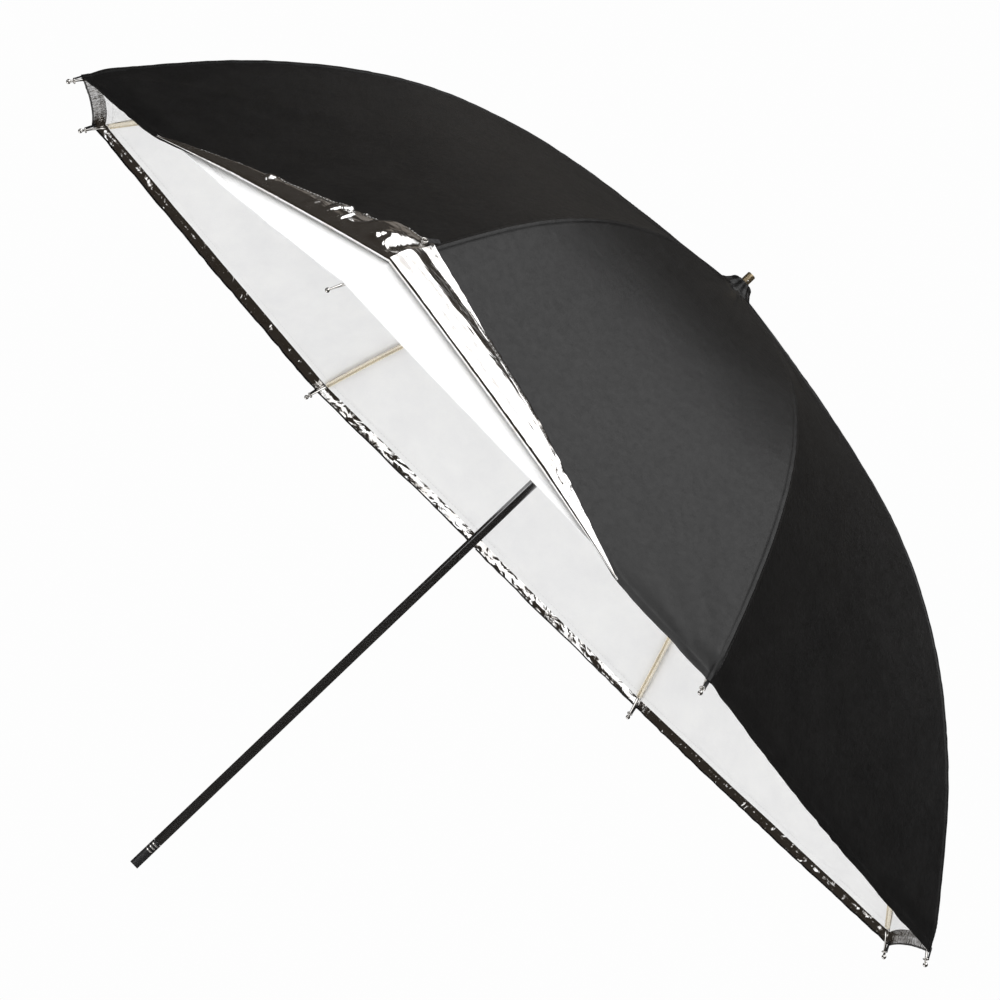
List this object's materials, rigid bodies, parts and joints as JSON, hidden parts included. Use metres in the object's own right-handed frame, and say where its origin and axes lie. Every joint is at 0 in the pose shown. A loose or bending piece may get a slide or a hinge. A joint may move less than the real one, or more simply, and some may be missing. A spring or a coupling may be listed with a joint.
{
  "type": "studio umbrella reflector",
  "caption": "Folding studio light umbrella: white translucent canopy on sprung ribs under a removable black cover with a silver lining, one corner of the cover unhooked and folded back.",
  "frame": {"origin": "centre of the flat end face at the lower end of the shaft", "axes": "+Z along the shaft from its lower end to the crown, +X towards rib a"},
  "size_m": [1.053, 1.0494, 0.6945],
  "materials": {
    "white_canopy": "thin white translucent polyester, slightly glossy, sewn from panels",
    "black_cover": "black satin-coated polyester",
    "silver_lining": "crinkled metallised silver film on cloth",
    "black_webbing": "short black elastic tab with a bright eyelet",
    "nickel_steel": "bright nickel-plated sheet steel",
    "bright_wire": "bright plated steel wire and pins",
    "black_lacquered_steel": "gloss black lacquered steel tube",
    "black_plastic": "black moulded plastic"
  },
  "bodies": {
    "shaft": {"shaft_tube": "black_lacquered_steel", "tail_cap": "black_plastic", "ferrule": "black_lacquered_steel", "ferrule_pin": "bright_wire", "crown_hub": "black_plastic", "crown_wire_ring": "bright_wire", "stop_pin": "bright_wire", "cover_collar": "black_cover"},
    "runner": {"runner": "black_plastic", "runner_wire_ring": "bright_wire"},
    "catch": {"runner_catch": "bright_wire"},
    "rib_a_arm": {"rib_a": "nickel_steel", "rib_tip_a": "nickel_steel", "canopy_gore_a": "white_canopy", "cover_gore_a": "black_cover", "cover_tab_a": "black_webbing"},
    "stretcher_a_arm": {"stretcher_a": "nickel_steel"},
    "rib_b_arm": {"rib_b": "nickel_steel", "rib_tip_b": "nickel_steel", "canopy_gore_b": "white_canopy", "cover_gore_b": "black_cover", "cover_tab_b": "black_webbing", "cover_flap": "silver_lining"},
    "stretcher_b_arm": {"stretcher_b": "nickel_steel"},
    "rib_c_arm": {"rib_c": "nickel_steel", "rib_tip_c": "nickel_steel", "canopy_gore_c": "white_canopy", "cover_gore_c": "black_cover", "cover_tab_c": "black_webbing"},
    "stretcher_c_arm": {"stretcher_c": "nickel_steel"},
    "rib_d_arm": {"rib_d": "nickel_steel", "rib_tip_d": "nickel_steel", "canopy_gore_d": "white_canopy", "cover_gore_d": "black_cover", "cover_tab_d": "black_webbing"},
    "stretcher_d_arm": {"stretcher_d": "nickel_steel"},
    "rib_e_arm": {"rib_e": "nickel_steel", "rib_tip_e": "nickel_steel", "canopy_gore_e": "white_canopy", "cover_gore_e": "black_cover", "cover_tab_e": "black_webbing"},
    "stretcher_e_arm": {"stretcher_e": "nickel_steel"},
    "rib_f_arm": {"rib_f": "nickel_steel", "rib_tip_f": "nickel_steel", "canopy_gore_f": "white_canopy", "cover_gore_f": "black_cover", "cover_tab_f": "black_webbing"},
    "stretcher_f_arm": {"stretcher_f": "nickel_steel"},
    "rib_g_arm": {"rib_g": "nickel_steel", "rib_tip_g": "nickel_steel", "canopy_gore_g": "white_canopy", "cover_gore_g": "black_cover", "cover_tab_g": "black_webbing"},
    "stretcher_g_arm": {"stretcher_g": "nickel_steel"},
    "rib_h_arm": {"rib_h": "nickel_steel", "rib_tip_h": "nickel_steel", "canopy_gore_h": "white_canopy", "cover_gore_h": "black_cover", "cover_tab_h": "black_webbing"},
    "stretcher_h_arm": {"stretcher_h": "nickel_steel"}
  },
  "joints": [
    {"name": "runner_slide", "type": "slide", "parent": "shaft", "child": "runner", "axis": [0, 0, -1], "range_m": [0, 0.3607], "deforming": ["canopy_gore_a", "cover_gore_a", "canopy_gore_b", "cover_gore_b", "cover_tab_b", "canopy_gore_c", "cover_gore_c", "canopy_gore_d", "cover_gore_d", "canopy_gore_e", "cover_gore_e", "canopy_gore_f", "cover_gore_f", "canopy_gore_g", "cover_gore_g", "canopy_gore_h", "cover_gore_h", "cover_flap"]},
    {"name": "rib_a_hinge", "type": "hinge", "parent": "shaft", "child": "rib_a_arm", "pos_m": [0.012, 0, 0.668], "axis": [0, 1, 0], "range_deg": [0, 60.5]},
    {"name": "stretcher_a_hinge", "type": "hinge", "parent": "rib_a_arm", "child": "stretcher_a_arm", "pos_m": [0.25063, 0, 0.61533], "axis": [0, 1, 0], "range_deg": [-121, 0]},
    {"name": "rib_b_hinge", "type": "hinge", "parent": "shaft", "child": "rib_b_arm", "pos_m": [0.00848, 0.00848, 0.668], "axis": [-0.7071, 0.7071, 0], "range_deg": [0, 60.5]},
    {"name": "stretcher_b_hinge", "type": "hinge", "parent": "rib_b_arm", "child": "stretcher_b_arm", "pos_m": [0.17722, 0.17722, 0.61533], "axis": [-0.7071, 0.7071, 0], "range_deg": [-121, 0]},
    {"name": "rib_c_hinge", "type": "hinge", "parent": "shaft", "child": "rib_c_arm", "pos_m": [0, 0.012, 0.668], "axis": [-1, 0, 0], "range_deg": [0, 60.5]},
    {"name": "stretcher_c_hinge", "type": "hinge", "parent": "rib_c_arm", "child": "stretcher_c_arm", "pos_m": [0, 0.25063, 0.61533], "axis": [-1, 0, 0], "range_deg": [-121, 0]},
    {"name": "rib_d_hinge", "type": "hinge", "parent": "shaft", "child": "rib_d_arm", "pos_m": [-0.00848, 0.00848, 0.668], "axis": [-0.7071, -0.7071, 0], "range_deg": [0, 60.5]},
    {"name": "stretcher_d_hinge", "type": "hinge", "parent": "rib_d_arm", "child": "stretcher_d_arm", "pos_m": [-0.17722, 0.17722, 0.61533], "axis": [-0.7071, -0.7071, 0], "range_deg": [-121, 0]},
    {"name": "rib_e_hinge", "type": "hinge", "parent": "shaft", "child": "rib_e_arm", "pos_m": [-0.012, 0, 0.668], "axis": [0, -1, 0], "range_deg": [0, 60.5]},
    {"name": "stretcher_e_hinge", "type": "hinge", "parent": "rib_e_arm", "child": "stretcher_e_arm", "pos_m": [-0.25063, 0, 0.61533], "axis": [0, -1, 0], "range_deg": [-121, 0]},
    {"name": "rib_f_hinge", "type": "hinge", "parent": "shaft", "child": "rib_f_arm", "pos_m": [-0.00848, -0.00848, 0.668], "axis": [0.7071, -0.7071, 0], "range_deg": [0, 60.5]},
    {"name": "stretcher_f_hinge", "type": "hinge", "parent": "rib_f_arm", "child": "stretcher_f_arm", "pos_m": [-0.17722, -0.17722, 0.61533], "axis": [0.7071, -0.7071, 0], "range_deg": [-121, 0]},
    {"name": "rib_g_hinge", "type": "hinge", "parent": "shaft", "child": "rib_g_arm", "pos_m": [0, -0.012, 0.668], "axis": [1, 0, 0], "range_deg": [0, 60.5]},
    {"name": "stretcher_g_hinge", "type": "hinge", "parent": "rib_g_arm", "child": "stretcher_g_arm", "pos_m": [0, -0.25063, 0.61533], "axis": [1, 0, 0], "range_deg": [-121, 0]},
    {"name": "rib_h_hinge", "type": "hinge", "parent": "shaft", "child": "rib_h_arm", "pos_m": [0.00848, -0.00848, 0.668], "axis": [0.7071, 0.7071, 0], "range_deg": [0, 60.5]},
    {"name": "stretcher_h_hinge", "type": "hinge", "parent": "rib_h_arm", "child": "stretcher_h_arm", "pos_m": [0.17722, -0.17722, 0.61533], "axis": [0.7071, 0.7071, 0], "range_deg": [-121, 0]},
    {"name": "catch_press", "type": "hinge", "parent": "shaft", "child": "catch", "pos_m": [0.00157, 0.00065, 0.48917], "axis": [0.3827, -0.9239, 0], "range_deg": [0, 5], "stiffness_Nm_per_rad": 0.4, "springref_deg": -6.88}
  ],
  "couplings": [
    {"joint": "rib_a_hinge", "follows": "runner_slide", "rad_per_m": 2.9032},
    {"joint": "stretcher_a_hinge", "follows": "runner_slide", "rad_per_m": -5.8065},
    {"joint": "rib_b_hinge", "follows": "runner_slide", "rad_per_m": 2.9032},
    {"joint": "stretcher_b_hinge", "follows": "runner_slide", "rad_per_m": -5.8065},
    {"joint": "rib_c_hinge", "follows": "runner_slide", "rad_per_m": 2.9032},
    {"joint": "stretcher_c_hinge", "follows": "runner_slide", "rad_per_m": -5.8065},
    {"joint": "rib_d_hinge", "follows": "runner_slide", "rad_per_m": 2.9032},
    {"joint": "stretcher_d_hinge", "follows": "runner_slide", "rad_per_m": -5.8065},
    {"joint": "rib_e_hinge", "follows": "runner_slide", "rad_per_m": 2.9032},
    {"joint": "stretcher_e_hinge", "follows": "runner_slide", "rad_per_m": -5.8065},
    {"joint": "rib_f_hinge", "follows": "runner_slide", "rad_per_m": 2.9032},
    {"joint": "stretcher_f_hinge", "follows": "runner_slide", "rad_per_m": -5.8065},
    {"joint": "rib_g_hinge", "follows": "runner_slide", "rad_per_m": 2.9032},
    {"joint": "stretcher_g_hinge", "follows": "runner_slide", "rad_per_m": -5.8065},
    {"joint": "rib_h_hinge", "follows": "runner_slide", "rad_per_m": 2.9032},
    {"joint": "stretcher_h_hinge", "follows": "runner_slide", "rad_per_m": -5.8065}
  ]
}
